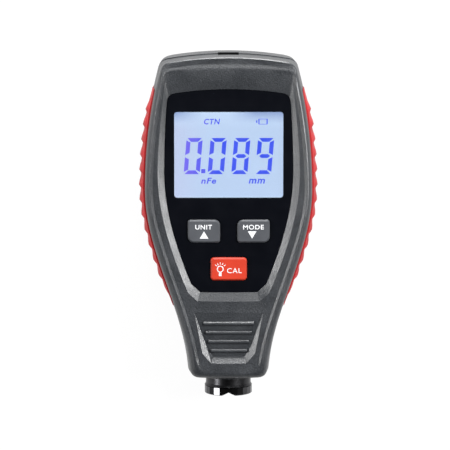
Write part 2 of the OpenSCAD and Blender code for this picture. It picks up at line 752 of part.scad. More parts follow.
module front_shell() {
    color("#474a4e") difference() {
        union() {
            difference() {
                ring_stack(front_rings);
                panel_recess();
                thumb_recess();
            }
            thumb_ribs();
            at_places(boss_places, board_top) cylinder(d = boss_d, h = roof_z - board_top + cut);
            at_places(board_screw_places, board_top) cylinder(d = boss_d, h = roof_z - board_top + cut);
            guide_saddles(lip_top, roof_z + cut);
            slot_block(lip_top, rear_depth + slot_h + slot_floor);
        }
        at_places(boss_places, board_top - cut)
            cylinder(d = screw_d + 2 * screw_clear, h = roof_z - board_top + cut);
        at_places(board_screw_places, board_top - cut)
            cylinder(d = board_screw_d + 2 * screw_clear, h = roof_z - board_top + cut);
        translate([0, window_y]) slab(window_rect(window_ledge + inlay_clear), roof_z - cut, seat_z + cut);
        key_openings(key_flange + key_clear, roof_z - cut, seat_z + cut);
        guide_space();
        slot_space();
    }
}

module rear_shell() {
    door_w = bay_w + 2 * door_margin + 2 * door_clear;
    color("#3f4246") difference() {
        union() {
            ring_stack(rear_rings);
            block(-bay_w / 2 - bay_wall, bay_w / 2 + bay_wall, bay_foot_y - bay_wall,
                bay_head_y + bay_wall, back_t / 2, bay_ceiling + bay_wall);
            at_places(boss_places, back_t / 2) cylinder(d = boss_d, h = board_low - back_t / 2);
            guide_saddles(back_t / 2, rear_depth);
            slot_block(rear_depth - slot_h - slot_floor, rear_depth);
        }
        block(-bay_w / 2, bay_w / 2, bay_foot_y, bay_head_y, -cut, bay_ceiling);
        block(-door_w / 2, door_w / 2, door_foot_y - door_clear, door_head_y + door_clear,
            -cut, door_top + seat_gap);
        hinge_bar(hinge_pin_d + 2 * run_clear, door_w + 2 * hinge_pin_len);
        at_places(boss_places, -cut) cylinder(d = screw_d + 2 * screw_clear, h = board_low + 2 * cut);
        at_places(boss_places, -cut) cylinder(d = screw_head_d + 4 * screw_clear, h = screw_sink + cut);
        guide_space();
        slot_space();
    }
}

// Side grips

bump_pitch = (grip_len - 2 * grip_taper / 3) / bump_count;
bump_rise = 0.22;
bump_phases = [0, 0.1, bump_rise, 0.48, 0.76];
// Width and height share of a grip's rounded edge, and its least height
grip_edge = 1.6;
grip_edge_share = 0.8;
grip_edge_least = 0.35;
grip_lip = 0.2;

// Height of the bumps, each with a steep lower flank and a long upper one
function bump_at(p) = p < bump_rise ? smooth(p / bump_rise) : 1 - smooth((p - bump_rise) / (1 - bump_rise));

// Surface of the housing at a height, beside the grips
function wall_side(y, z) = shell_side(y)
    - (z > rear_depth ? side_draft * front_share(z) : side_draft / 2 * rear_share(z));

grip_stations = concat(
    [for (t = [0, 0.4]) [grip_foot_y + t * grip_taper / 3, 0]],
    [for (n = [0:bump_count - 1], p = bump_phases)
        [grip_foot_y + grip_taper / 3 + (n + p) * bump_pitch, bump_at(p)]],
    [for (t = [0.6, 1]) [grip_head_y - (1 - t) * grip_taper / 3, 0]]
);

function grip_section(station) =
    let (
        y = station[0],
        low = grip_low + grip_clear,
        high = grip_high - grip_clear,
        body = smooth((y - grip_foot_y) / grip_taper) * smooth((grip_head_y - y) / grip_taper),
        levels = [[low, 0], [low + grip_edge, grip_edge_share], [rear_depth, 1],
            [high - grip_edge, grip_edge_share], [high, 0]],
        inner = [for (l = levels) [wall_side(y, l[0]) - grip_channel(y) + grip_clear, y, l[0]]],
        outer = [for (l = levels)
            [wall_side(y, l[0]) + grip_clear + grip_lip + body * (grip_proud * lerp(grip_edge_least, 1, l[1])
                + bump_h * station[1] * l[1]), y, l[0]]]
    ) concat(inner, [for (k = [len(levels) - 1:-1:0]) outer[k]]);

module right_grip() {
    color("#d7282d") section_loft([for (s = grip_stations) grip_section(s)]);
}

module left_grip() {
    mirror([1, 0, 0]) right_grip();
}

// Face panel and display

module face_panel() {
    color("#0c0f14") difference() {
        slab(panel_outline(even(0), 0, 0), seat_z, panel_z);
        translate([0, window_y]) slab(window_rect(0), seat_z - cut, panel_z + cut);
        key_openings(key_clear, seat_z - cut, panel_z + cut);
    }
}

module display_window() {
    color("#cfe0f2", 0.4) translate([0, window_y]) {
        slab(window_rect(window_ledge), roof_z, seat_z);
        slab(window_rect(-inlay_clear), seat_z, panel_z);
    }
}

module lcd_glass() {
    color("#b9cdf0") block(-lcd_w / 2, lcd_w / 2, lcd_foot_y, lcd_head_y, lcd_low, lcd_top);
}

module lcd_frame() {
    color("#e6e6e2") difference() {
        block(-lcd_w / 2 - frame_out, lcd_w / 2 + frame_out, lcd_foot_y - frame_out, lcd_head_y + frame_out,
            board_top, lcd_low + lcd_t / 2);
        block(-lcd_w / 2 - inlay_clear, lcd_w / 2 + inlay_clear, lcd_foot_y - inlay_clear,
            lcd_head_y + inlay_clear, board_top - cut, lcd_top + cut);
    }
}

side_light_t = 1.4;
module light_guide() {
    color("#e9f1ff") block(-lcd_w / 2, lcd_w / 2, light_foot_y, lcd_head_y - side_light_t - inlay_clear,
        board_top, light_top);
}

module side_light() {
    color("#f4f4e8") block(-lcd_w / 3, lcd_w / 3, lcd_head_y - side_light_t, lcd_head_y,
        board_top, light_top);
}

strip_in = 1;
module contact_strip() {
    color("#d98aa0") block(-lcd_w / 2 + strip_in, lcd_w / 2 - strip_in, lcd_foot_y,
        lcd_foot_y + lcd_contact_edge, board_top, lcd_low);
}

// Circuit board and what is on it

board_cut = 1;
module main_board() {
    outline = whole(half_outline(function(y) shell_side(y) - wall - board_edge,
        head_y - wall - slot_depth + board_edge, board_foot_y, [board_cut, board_cut], board_cut, 1,
        head_arch, 4 * foot_arch));
    color("#1f6b3a") difference() {
        slab(outline, board_low, board_top);
        at_places(boss_places, board_low - cut)
            cylinder(d = screw_d + 4 * screw_clear, h = board_t + 2 * cut);
        at_places(board_screw_places, board_low - cut)
            cylinder(d = board_screw_d + 4 * screw_clear, h = board_t + 2 * cut);
    }
}

chip_w = 7;
chip_t = 1.4;
chip_y = key_y - 1;
module processor_chip() {
    color("#1c1c1e") block(-chip_w / 2, chip_w / 2, chip_y - chip_w / 2, chip_y + chip_w / 2,
        board_top, board_top + chip_t);
}

memory_w = 5;
memory_h = 4;
module memory_chip() {
    color("#1c1c1e") translate([key_pitch / 2 + memory_w, cal_y])
        block(-memory_w / 2, memory_w / 2, 0, memory_h, board_top, board_top + chip_t);
}

crystal_w = 5;
crystal_d = 3;
module clock_crystal() {
    color("#c9ccd0") translate([-key_pitch / 2 - crystal_w, cal_y + crystal_d / 2])
        hull() for (s = [-1, 1]) translate([s * (crystal_w - crystal_d) / 2, 0, board_top])
            cylinder(d = crystal_d, h = chip_t, $fn = 32);
}

sounder_d = 7;
sounder_h = 3;
sounder_gap = 0.4;
sounder_hole_d = 1.6;
sounder_hole = 1;
module sounder() {
    y = cal_y - switch_w / 2 - sounder_d / 2 - sounder_gap;
    color("#151517") translate([0, y, board_top]) difference() {
        cylinder(d = sounder_d, h = sounder_h);
        translate([0, 0, sounder_h - sounder_hole]) cylinder(d = sounder_hole_d, h = sounder_hole + cut);
    }
}

// Keys, their switches and plungers

function grey_key_rect(margin, side) =
    let (big = key_corner_big + margin, small = key_corner_small + margin)
    round_rect(key_w + 2 * margin, key_h + 2 * margin,
        side < 0 ? [big, small, big, small] : [small, big, small, big]);
function cal_key_rect(margin) =
    round_rect(cal_w + 2 * margin, key_h + 2 * margin, [for (k = [0:3]) cal_corner + margin]);

key_top = panel_z + key_rise;
switch_top = board_top + switch_h;
plunger_in = 1;
plunger_spare = 0.1;
plunger_top = switch_top + key_travel + key_clear;
flange_top = seat_z - key_clear;
flange_low = roof_z + key_clear;

// Cap with a bevelled top edge, a flange behind the panel and a stem to the switch
module key_body(rect, rect_in) {
    slab(rect, flange_top - inlay_clear, key_top - key_bevel);
    bevel_skin(rect, rect_in, key_top - key_bevel, key_top);
    translate([0, 0, plunger_top]) cylinder(d = stem_d, h = flange_top - plunger_top);
}

// Skin between two outlines with the same number of points, both seen from their centre
module bevel_skin(low, high, z0, z1) {
    n = len(low);
    points = concat([for (p = low) [p[0], p[1], z0]], [for (p = high) [p[0], p[1], z1]],
        [[0, 0, z0], [0, 0, z1]]);
    polyhedron(points, [for (i = [0:n - 1]) let (j = (i + 1) % n)
        each [[i, i + n, j + n], [i, j + n, j], [2 * n, i, j], [2 * n + 1, j + n, i + n]]]);
}

module grey_key(side) {
    translate([side * key_pitch / 2, key_y, 0]) {
        key_body(grey_key_rect(0, side), grey_key_rect(-key_bevel, side));
        slab(grey_key_rect(key_flange, side), flange_low, flange_top);
    }
}

module unit_key() {
    color("#66686c") grey_key(-1);
}

module mode_key() {
    color("#66686c") grey_key(1);
}

module cal_key() {
    color("#fa462d") translate([0, cal_y, 0]) {
        key_body(cal_key_rect(0), cal_key_rect(-key_bevel));
        slab(cal_key_rect(key_flange), flange_low, flange_top);
    }
}

module key_switch(x, y) {
    color("#2a2a2c") translate([x, y, board_top]) difference() {
        translate([-switch_w / 2, -switch_w / 2, 0]) cube([switch_w, switch_w, switch_h]);
        translate([0, 0, switch_h - plunger_in - key_travel - plunger_spare])
            cylinder(d = plunger_d + 2 * run_clear, h = switch_h);
    }
}

module key_plunger(x, y) {
    color("#d9d9d4") translate([x, y, switch_top - plunger_in])
        cylinder(d = plunger_d, h = plunger_top - switch_top + plunger_in);
}

module unit_switch() {
    key_switch(-key_pitch / 2, key_y);
}

module mode_switch() {
    key_switch(key_pitch / 2, key_y);
}

module cal_switch() {
    key_switch(0, cal_y);
}

module unit_plunger() {
    key_plunger(-key_pitch / 2, key_y);
}

module mode_plunger() {
    key_plunger(key_pitch / 2, key_y);
}

module cal_plunger() {
    key_plunger(0, cal_y);
}

// Probe

module probe_guide() {
    color("#2c2e31") difference() {
        union() {
            bar_y(0, foot_y, probe_z, nose_r, guide_len);
            bar_y(0, foot_y + wall + inlay_clear, probe_z, guide_r, guide_len - wall - inlay_clear);
        }
        bar_y(0, foot_y - cut, probe_z, sleeve_r + run_clear, guide_len);
        bar_y(0, chamber_y, probe_z, chamber_r, guide_len);
    }
}

module probe_cap() {
    color("#2c2e31") difference() {
        bar_y(0, cap_y, probe_z, chamber_r - inlay_clear, cap_t);
        bar_y(0, cap_y - cut, probe_z, core_d, cap_t + 2 * cut);
    }
}

module probe_sleeve() {
    color("#d8dadd") difference() {
        union() {
            bar_y(0, collar_top_y, probe_z, sleeve_r, sleeve_end_y - collar_top_y);
            translate([0, collar_top_y, probe_z]) rotate([-90, 0, 0])
                cylinder(r1 = collar_r, r2 = sleeve_r, h = flare_len);
            bar_y(0, stop_y, probe_z, stop_r, stop_t);
        }
        bar_y(0, collar_top_y - cut, probe_z, sleeve_r - sleeve_wall, sleeve_end_y - collar_top_y + 2 * cut);
    }
}

// Turned collar with a rounded shoulder and a groove that seats on round work
module probe_collar() {
    r = collar_r;
    bore_r = core_d / 2 + inlay_clear;
    color("#e4e6e8") difference() {
        translate([0, tip_y, probe_z]) rotate([-90, 0, 0]) rotate_extrude()
            polygon([[bore_r, 0], [r - collar_edge, 0], [r, collar_edge], [r, collar_len - collar_edge],
                [r - collar_edge, collar_len], [bore_r, collar_len]]);
        translate([0, tip_y, probe_z - 2 * r]) linear_extrude(4 * r)
            polygon([[-groove_w / 2, -cut], [groove_w / 2, -cut], [groove_w / 2, 0], [0, groove_depth],
                [-groove_w / 2, 0]]);
    }
}

bobbin_len = 9;
flange_t = 0.8;
bobbin_wall = 1;
winding_in = 0.5;
coil_r = bobbin_r - winding_in;
module probe_bobbin() {
    color("#ece8dc") difference() {
        union() {
            bar_y(0, collar_top_y, probe_z, bobbin_r, flange_t);
            bar_y(0, collar_top_y, probe_z, core_d / 2 + bobbin_wall, bobbin_len);
            bar_y(0, collar_top_y + bobbin_len - flange_t, probe_z, bobbin_r, flange_t);
        }
        bar_y(0, collar_top_y - cut, probe_z, core_d / 2 + seat_gap, bobbin_len + 2 * cut);
    }
}

module probe_coil() {
    color("#b5652b") difference() {
        bar_y(0, collar_top_y + flange_t, probe_z, coil_r, bobbin_len - 2 * flange_t);
        bar_y(0, collar_top_y, probe_z, core_d / 2 + bobbin_wall, bobbin_len);
    }
}

tip_sunk = 0.6;
tip_len = 0.8;
tip_cone = 0.6;
tip_seat_y = tip_y + groove_depth + tip_sunk;
module probe_core() {
    color("#4a4a4e") bar_y(0, tip_seat_y, probe_z, core_d / 2, collar_top_y + bobbin_len - tip_seat_y);
}

module probe_tip() {
    color("#9fa2a6") translate([0, tip_seat_y, probe_z]) rotate([90, 0, 0]) union() {
        cylinder(d = tip_d, h = tip_len);
        translate([0, 0, tip_len]) cylinder(d1 = tip_d, d2 = tip_d / 2, h = tip_cone);
    }
}

spring_turns = 4;
module probe_spring() {
    color("#a9adb2") translate([0, sleeve_end_y + seat_gap, probe_z])
        coil(sleeve_r, sleeve_r, spring_wire, spring_turns, cap_y - sleeve_end_y - 2 * seat_gap);
}

// Cells and contacts

nub_d = 3.8;
nub_len = 1.2;
cell_foot_y = bay_foot_y + contact_room;
module cell() {
    color("#8a8d92") {
        cylinder(d = cell_d, h = cell_len - nub_len);
        translate([0, 0, cell_len - nub_len]) cylinder(d = nub_d, h = nub_len);
    }
}

module left_cell() {
    translate([-cell_x, cell_foot_y, cell_z]) rotate([-90, 0, 0]) cell();
}

module right_cell() {
    translate([cell_x, cell_foot_y + cell_len, cell_z]) rotate([90, 0, 0]) cell();
}

contact_t = 0.5;
contact_in = 1;
contact_w = cell_d - 2 * contact_in;
// Plate at the end of a cell, from x0 to x1
module contact_plate(x0, x1, y) {
    block(x0, x1, y, y + contact_t, cell_z - contact_w / 2, cell_z + contact_w / 2);
}

contact_turns = 2;
contact_flare = 1;
spring_len = contact_room - contact_t - seat_gap;
spring_sunk = 0.1;

module cell_link() {
    color("#c8ccd0") {
        contact_plate(-cell_x - contact_w / 2, cell_x + contact_w / 2, bay_head_y - contact_t);
        bar_y(-cell_x, bay_head_y - contact_room + seat_gap, cell_z, nub_d / 2, contact_room - contact_t);
        translate([cell_x, bay_head_y - contact_t + spring_sunk, cell_z]) rotate([0, 0, 180])
            coil(nub_d / 2 + contact_flare, nub_d / 2, spring_wire, contact_turns, spring_len);
    }
}

module plus_contact() {
    color("#c8ccd0") {
        contact_plate(cell_x - contact_w / 2, cell_x + contact_w / 2, bay_foot_y);
        bar_y(cell_x, bay_foot_y, cell_z, nub_d / 2, contact_room - seat_gap);
    }
}

module minus_contact() {
    color("#c8ccd0") {
        contact_plate(-cell_x - contact_w / 2, -cell_x + contact_w / 2, bay_foot_y);
        translate([-cell_x, bay_foot_y + contact_t - spring_sunk, cell_z])
            coil(nub_d / 2 + contact_flare, nub_d / 2, spring_wire, contact_turns, spring_len);
    }
}

// Battery door with a rounded hinge end, hinge pins and finger grooves

finger_pitch = 1.8;
finger_count = 5;
finger_from_head = 4;
finger_d = 0.9;
module battery_door() {
    w = bay_w + 2 * door_margin;
    color("#3f4246") union() {
        difference() {
            block(-w / 2, w / 2, hinge_y, door_head_y, door_low, door_top);
            for (i = [0:finger_count - 1])
                translate([-w / 4, door_head_y - finger_from_head - finger_pitch * i, door_low])
                    rotate([0, 90, 0]) cylinder(d = finger_d, h = w / 2);
        }
        hinge_bar(door_t, w);
        hinge_bar(hinge_pin_d, w + 2 * hinge_pin_len);
    }
}

// Fasteners

// Pan head screw pointing up, with a cross recess
module screw(d, head_d, head_h, length) {
    difference() {
        union() {
            cylinder(d = head_d, h = head_h);
            cylinder(d = d, h = head_h + length);
        }
        for (a = [0, 90]) rotate(a) block(-head_d / 3, head_d / 3, -d / 7, d / 7, -cut, head_h / 2);
    }
}

screw_head_h = 2;
screw_end = 0.5;
module housing_screws() {
    color("#2b2b2d") at_places(boss_places, screw_sink - screw_head_h)
        screw(screw_d, screw_head_d, screw_head_h, roof_z - screw_sink - screw_end);
}

board_head_h = 1.2;
board_head_d = 3.8;
module board_screws() {
    color("#b9bcc0") at_places(board_screw_places, board_low - board_head_h)
        screw(board_screw_d, board_head_d, board_head_h, board_t + roof_z - board_top - screw_end);
}

module strap_post() {
    color("#c8ccd0") translate([0, post_y, rear_depth - slot_h + seat_gap])
        cylinder(d = post_d, h = 2 * (slot_h - seat_gap));
}

front_shell();
rear_shell();
left_grip();
right_grip();
face_panel();
display_window();
lcd_glass();
lcd_frame();
light_guide();
side_light();
contact_strip();
main_board();
processor_chip();
memory_chip();
clock_crystal();
sounder();
unit_key();
mode_key();
cal_key();
unit_switch();
mode_switch();
cal_switch();
unit_plunger();
mode_plunger();
cal_plunger();
probe_guide();
probe_cap();
probe_sleeve();
probe_collar();
probe_bobbin();
probe_coil();
probe_core();
probe_tip();
probe_spring();
left_cell();
right_cell();
cell_link();
plus_contact();
minus_contact();
battery_door();
housing_screws();
board_screws();
strap_post();
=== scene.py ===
"""Coating thickness gauge on its back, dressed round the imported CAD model."""

import json
import math

import bmesh
import bpy
from mathutils import Matrix, Vector

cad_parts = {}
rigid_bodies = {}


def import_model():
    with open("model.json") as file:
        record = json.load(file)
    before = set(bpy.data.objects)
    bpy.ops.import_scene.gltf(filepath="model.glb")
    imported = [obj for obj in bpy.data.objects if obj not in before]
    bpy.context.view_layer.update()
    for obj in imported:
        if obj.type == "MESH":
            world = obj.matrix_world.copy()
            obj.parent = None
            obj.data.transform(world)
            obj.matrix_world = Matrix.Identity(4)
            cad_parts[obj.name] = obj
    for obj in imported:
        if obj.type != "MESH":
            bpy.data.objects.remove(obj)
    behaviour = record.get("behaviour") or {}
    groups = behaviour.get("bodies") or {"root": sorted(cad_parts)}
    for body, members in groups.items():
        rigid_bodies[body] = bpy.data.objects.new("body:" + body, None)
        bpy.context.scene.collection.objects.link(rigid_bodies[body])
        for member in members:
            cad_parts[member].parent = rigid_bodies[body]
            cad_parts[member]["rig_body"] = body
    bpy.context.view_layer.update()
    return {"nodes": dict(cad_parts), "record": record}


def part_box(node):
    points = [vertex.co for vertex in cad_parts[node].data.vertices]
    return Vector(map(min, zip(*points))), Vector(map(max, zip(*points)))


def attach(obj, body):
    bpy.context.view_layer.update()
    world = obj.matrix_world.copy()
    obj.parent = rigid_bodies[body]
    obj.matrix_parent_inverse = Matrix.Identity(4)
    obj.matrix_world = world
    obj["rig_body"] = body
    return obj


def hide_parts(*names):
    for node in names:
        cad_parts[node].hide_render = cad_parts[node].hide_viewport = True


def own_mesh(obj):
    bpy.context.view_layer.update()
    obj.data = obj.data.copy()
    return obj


MM = 0.001
WHITE = (1.0, 1.0, 1.0, 1.0)

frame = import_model()
nodes = frame["nodes"]
slots = {part["node"]: part["material_slot"] for part in frame["record"]["subparts"]}


# Places on the face, in millimetres


def node_centre(node):
    """Middle of a CAD node's box seen from above."""
    low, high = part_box(node)
    return (low.x + high.x) / 2 / MM, (low.y + high.y) / 2 / MM


WINDOW_W = 34.0
WINDOW_H = 27.0
WINDOW_Y = node_centre("display_window")[1]
UNIT_AT = node_centre("unit_key")
MODE_AT = node_centre("mode_key")
CAL_AT = node_centre("cal_key")
LCD_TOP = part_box("lcd_glass")[1].z / MM
KEY_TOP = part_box("unit_key")[1].z / MM
INK = 0.03


# Node trees


def set_input(tree, socket, value):
    """Give a socket a plain value, or link it to another node's output."""
    if isinstance(value, bpy.types.NodeSocket):
        tree.links.new(value, socket)
    else:
        socket.default_value = value


def add_node(tree, kind, settings=None, **inputs):
    """New node with its settings, and its inputs by name, with spaces written as underscores."""
    node = tree.nodes.new(kind)
    for name, value in (settings or {}).items():
        setattr(node, name, value)
    for name, value in inputs.items():
        set_input(tree, node.inputs[name.replace("_", " ")], value)
    return node


def maths(tree, operation, *values):
    """Result of a maths node."""
    node = add_node(tree, "ShaderNodeMath", {"operation": operation})
    for socket, value in zip(node.inputs, values):
        set_input(tree, socket, value)
    return node.outputs["Value"]


def mixed_colour(tree, factor, first, last):
    """Colour on the way from one colour to another."""
    mix = add_node(tree, "ShaderNodeMix", {"data_type": "RGBA"}, Factor=factor, A=first, B=last)
    return mix.outputs["Result"]


def mixed_shader(tree, factor, first, last):
    """Shader on the way from one shader to another."""
    mix = add_node(tree, "ShaderNodeMixShader", Fac=factor)
    tree.links.new(first, mix.inputs[1])
    tree.links.new(last, mix.inputs[2])
    return mix.outputs["Shader"]


def ranged(tree, value, start, end, low=0.0, high=1.0):
    """Value stretched from one range to another, and held at its ends."""
    stretch = add_node(tree, "ShaderNodeMapRange", Value=value, From_Min=start, From_Max=end,
                       To_Min=low, To_Max=high)
    return stretch.outputs["Result"]


def axes_of(tree, space):
    """X, Y and Z of the shaded place in one of the texture spaces."""
    place = tree.nodes.new("ShaderNodeTexCoord")
    return add_node(tree, "ShaderNodeSeparateXYZ", Vector=place.outputs[space]).outputs


def new_material(name):
    """Material with its node tree and its shader."""
    material = bpy.data.materials.new(name)
    material.use_nodes = True
    tree = material.node_tree
    return material, tree, tree.nodes["Principled BSDF"]


# Finishes

NOISE_LOW = 0.3
NOISE_HIGH = 0.7
PATCH_DETAIL = 3.0
GRAIN_DETAIL = 2.0
ROUGHNESS_MIN = 0.02


def tint(red, green, blue):
    """Linear colour of a screen colour written from 0 to 255, by the standard screen curve."""

    def linear(level):
        share = level / 255
        if share <= 0.04045:
            return share / 12.92
        return ((share + 0.055) / 1.055) ** 2.4

    return (linear(red), linear(green), linear(blue), 1.0)


def scaled(colour, factor):
    """Colour made brighter or darker."""
    return tuple(min(1.0, channel * factor) for channel in colour[:3]) + (1.0,)


def surface_noise(tree, grain_mm, detail=PATCH_DETAIL):
    """Noise over the piece's own surface, with grains of about this size."""
    place = tree.nodes.new("ShaderNodeTexCoord")
    noise = add_node(tree, "ShaderNodeTexNoise", Vector=place.outputs["Object"],
                     Scale=1 / (grain_mm * MM), Detail=detail)
    return noise.outputs["Fac"]


def spread(tree, noise, low, high):
    """Noise stretched from the levels that hold most of it to a range."""
    return ranged(tree, noise, NOISE_LOW, NOISE_HIGH, low, high)


def finish(name, colour, roughness, gloss_drift=0.06, tone_drift=0.08, patch_mm=6.0,
           grain_mm=0.0, grain_depth_mm=0.0, speckle=0.0, shader_values=None):
    """Material with patches in its tone and gloss, and grain and speckles where it has them."""
    material, tree, shader = new_material(name)
    for socket, value in (shader_values or {}).items():
        shader.inputs[socket].default_value = value
    patches = surface_noise(tree, patch_mm)
    ground = mixed_colour(tree, spread(tree, patches, 0.0, 1.0),
                          scaled(colour, 1 - tone_drift), scaled(colour, 1 + tone_drift))
    if speckle:
        grains = spread(tree, surface_noise(tree, grain_mm, GRAIN_DETAIL), 1 - speckle, 1 + speckle)
        speckled = add_node(tree, "ShaderNodeVectorMath", {"operation": "SCALE"},
                            Vector=ground, Scale=grains)
        ground = speckled.outputs["Vector"]
    tree.links.new(ground, shader.inputs["Base Color"])
    low = max(ROUGHNESS_MIN, roughness - gloss_drift)
    gloss = spread(tree, patches, low, roughness + gloss_drift)
    tree.links.new(gloss, shader.inputs["Roughness"])
    if grain_mm:
        bump = add_node(tree, "ShaderNodeBump", Strength=1.0, Distance=grain_depth_mm * MM,
                        Height=surface_noise(tree, grain_mm, GRAIN_DETAIL))
        tree.links.new(bump.outputs["Normal"], shader.inputs["Normal"])
    return material


# Display ground: shares of the window's height above its middle, and distances along X from where
# the painted shade at the top thins out

PALE_FROM = 0.28
TOP_SHADE_FROM = 0.36
WINDOW_EDGE = 0.5
TOP_SHADE_GAP_X = -4.0
TOP_SHADE_NEAR = 4
TOP_SHADE_FAR = 12
LIT_ROUGHNESS = 0.4


def lit_material(name, ground):
    """Material that glows, with its node tree and the socket for the colour of its glow."""
    material, tree, shader = new_material(name)
    shader.inputs["Base Color"].default_value = ground
    shader.inputs["Roughness"].default_value = LIT_ROUGHNESS
    shader.inputs["Emission Strength"].default_value = 1.0
    return material, tree, shader.inputs["Emission Color"]


def share(tree, value, start, end):
    """Share of the way between two places in millimetres."""
    return ranged(tree, value, start * MM, end * MM)


def lit_display():
    """Backlit display ground: pale blue, violet at the left, with painted shade along the top from
    the panel's edge, thinning out near x = -4 mm.
    """
    material, tree, glow = lit_material("lit_display", tint(20, 26, 40))
    axes = axes_of(tree, "Object")
    window_top = WINDOW_Y + WINDOW_H * WINDOW_EDGE
    left = share(tree, axes["X"], -WINDOW_W / 2, -WINDOW_W / 5)
    colour = mixed_colour(tree, left, tint(198, 212, 244), tint(192, 215, 246))
    pale = share(tree, axes["Y"], WINDOW_Y + WINDOW_H * PALE_FROM, window_top)
    colour = mixed_colour(tree, pale, colour, tint(204, 226, 255))
    from_shade_gap = maths(tree, "ABSOLUTE", maths(tree, "SUBTRACT", axes["X"], TOP_SHADE_GAP_X * MM))
    # Painted shade: darker along the top of the window, where the panel's edge shades the display,
    # less of it near x = -4 mm
    high = share(tree, axes["Y"], WINDOW_Y + WINDOW_H * TOP_SHADE_FROM, window_top)
    painted_top_shade = maths(tree, "MULTIPLY", high, share(tree, from_shade_gap, TOP_SHADE_NEAR, TOP_SHADE_FAR))
    colour = mixed_colour(tree, painted_top_shade, colour, tint(140, 164, 212))
    tree.links.new(colour, glow)
    return material


VIOLET_X = -14.5
BLUE_X = -3.5


def lit_segment():
    """Lit display segments: blue, turning violet to the left."""
    material, tree, glow = lit_material("lit_segment", tint(10, 14, 40))
    right = share(tree, axes_of(tree, "Object")["X"], VIOLET_X, BLUE_X)
    tree.links.new(mixed_colour(tree, right, tint(126, 112, 250), tint(62, 88, 248)), glow)
    return material


ACRYLIC_IOR = 1.49
WINDOW_PATCH = 4.0
WINDOW_ROUGHNESS = 0.03


def clear_window():
    """Clear acrylic with a slight drift in its gloss."""
    material, tree, shader = new_material("clear_window")
    shader.inputs["Base Color"].default_value = WHITE
    shader.inputs["Transmission Weight"].default_value = 1.0
    shader.inputs["IOR"].default_value = ACRYLIC_IOR
    gloss = spread(tree, surface_noise(tree, WINDOW_PATCH), 0.0, WINDOW_ROUGHNESS)
    tree.links.new(gloss, shader.inputs["Roughness"])
    return material


METAL = {"Metallic": 1.0}
GRIP_SHEEN = {"Specular IOR Level": 0.25}
KEY_SHEEN = {"Specular IOR Level": 0.3}
SLOT_SHADE_SHEEN = {"Specular IOR Level": 0.1}

finishes = {
    "shell": finish("grained_housing", tint(37, 39, 42), 0.38,
                    grain_mm=0.42, grain_depth_mm=0.1, speckle=0.4),
    "grip": finish("red_soft_grip", tint(140, 15, 19), 0.55,
                   grain_mm=0.18, grain_depth_mm=0.01, shader_values=GRIP_SHEEN),
    "panel": finish("black_gloss_panel", tint(4, 5, 9), 0.18, gloss_drift=0.03),
    "light": finish("milky_light_guide", tint(236, 242, 255), 0.3),
    "frame": finish("white_frame", tint(224, 224, 219), 0.5),
    "contact_rubber": finish("pink_contact_rubber", tint(204, 128, 148), 0.7),
    "board": finish("green_board", tint(26, 92, 51), 0.35, patch_mm=1.5),
    "component": finish("black_component", tint(24, 24, 26), 0.55),
    "key_grey": finish("grey_key_rubber", tint(54, 56, 60), 0.55,
                       grain_mm=0.12, grain_depth_mm=0.004, shader_values=KEY_SHEEN),
    "key_red": finish("red_key_rubber", tint(151, 35, 11), 0.55,
                      grain_mm=0.12, grain_depth_mm=0.004, shader_values=KEY_SHEEN),
    "plunger": finish("white_plunger", tint(217, 217, 212), 0.5),
    "probe_metal": finish("dark_chrome", tint(84, 84, 86), 0.08,
                          gloss_drift=0.03, tone_drift=0.02, shader_values=METAL),
    "guide": finish("black_guide", tint(38, 40, 43), 0.45),
    "bobbin": finish("cream_bobbin", tint(230, 225, 210), 0.5),
    "winding": finish("copper_winding", tint(180, 100, 45), 0.35,
                      patch_mm=0.4, shader_values=METAL),
    "ferrite": finish("ground_ferrite", tint(66, 66, 70), 0.5),
    "steel": finish("plain_steel", tint(170, 172, 176), 0.3, patch_mm=2.0, shader_values=METAL),
    "cell": finish("grey_cell_sleeve", tint(130, 133, 138), 0.35, patch_mm=3.0),
    "screw": finish("blackened_screw", tint(44, 44, 46), 0.4, patch_mm=1.0, shader_values=METAL),
    "display": lit_display(),
    "window": clear_window(),
}
segment_ink = lit_segment()
white_ink = finish("white_print", tint(184, 185, 187), 0.5, gloss_drift=0.04, tone_drift=0.03)
turned_chrome = finish("turned_chrome", tint(62, 62, 64), 0.3,
                       gloss_drift=0.03, tone_drift=0.02, shader_values=METAL)
# Black colour for the painted shade inside the strap slot
slot_shade_black = finish("slot_shade_black", tint(4, 4, 5), 0.9, shader_values=SLOT_SHADE_SHEEN)


# Pieces that stand for CAD nodes

WELD = 0.002
SMOOTH_DEG = {"front_shell": 19, "rear_shell": 19, "left_grip": 50, "right_grip": 50}
SPRING_SMOOTH_DEG = 70
MITRE_LOW = (-12.5, -27.0, 22.0)
MITRE_HIGH = (12.5, -18.0, 25.36)
MITRE_DEG = 8
COLLAR_FLATS = 24


def new_object(name, data):
    """Object in the scene that holds a mesh, a curve, a lamp or a camera."""
    item = bpy.data.objects.new(name, data)
    bpy.context.scene.collection.objects.link(item)
    return item


def new_piece(name, mesh, material, body):
    """Finished mesh as a piece that rides on a body."""
    mesh.materials.clear()
    mesh.materials.append(material)
    piece = new_object(name, mesh)
    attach(piece, body)
    return piece


def finished_mesh(work, name):
    """New mesh of a working mesh, which is freed."""
    mesh = bpy.data.meshes.new(name)
    work.to_mesh(mesh)
    work.free()
    return mesh


def merged_mesh(node):
    """The CAD node's surface with its loose triangles joined."""
    work = bmesh.new()
    work.from_mesh(nodes[node].data)
    bmesh.ops.remove_doubles(work, verts=work.verts, dist=WELD * MM)
    mesh = finished_mesh(work, node)
    mesh.attributes.remove(mesh.attributes["custom_normal"])
    return mesh


def sharpen(mesh, low, high, degrees):
    """Mark the bends inside a box in millimetres as sharp."""
    work = bmesh.new()
    work.from_mesh(mesh)
    for edge in work.edges:
        inside = all(low[k] <= v.co[k] / MM <= high[k] for v in edge.verts for k in range(3))
        paired = len(edge.link_faces) == 2
        if inside and paired and edge.calc_face_angle() > math.radians(degrees):
            edge.smooth = False
    work.to_mesh(mesh)
    work.free()


